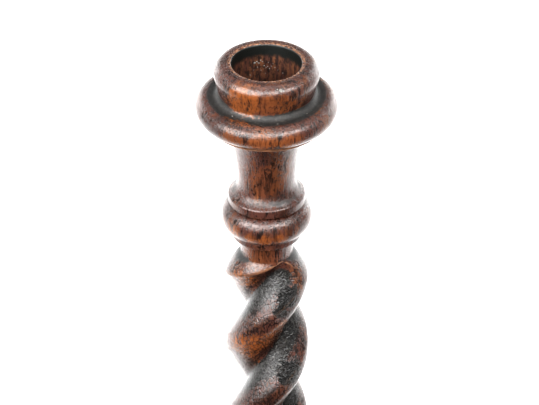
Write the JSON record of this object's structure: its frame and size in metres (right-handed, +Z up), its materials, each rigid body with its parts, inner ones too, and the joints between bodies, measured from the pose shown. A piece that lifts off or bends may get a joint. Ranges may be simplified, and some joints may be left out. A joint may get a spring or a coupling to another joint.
{
  "type": "candlestick",
  "caption": "Turned wooden candlestick: a candle cup with a drip flange on a moulded neck and an open barley-twist stem, on a round stepped base with a baize pad.",
  "frame": {"origin": "centre of the underside, on the surface it stands on", "axes": "+Z up the stem to the candle socket; +Y and +X are free, and -Y is the side that was seen"},
  "size_m": [0.124, 0.124, 0.3],
  "materials": {
    "nozzle_wood": "dark waxed oak, worn",
    "stem_wood": "dark waxed oak, worn on the strands",
    "base_wood": "dark waxed oak",
    "screw_steel": "dull, aged",
    "baize": "woven baize"
  },
  "bodies": {
    "root": {"nozzle": "nozzle_wood", "stem": "stem_wood", "base_dome": "base_wood", "base_plinth": "base_wood", "stem_screw": "screw_steel", "screw_washer": "screw_steel", "plinth_screw_1": "screw_steel", "plinth_screw_2": "screw_steel", "plinth_screw_3": "screw_steel", "baize_pad": "baize"}
  },
  "joints": []
}
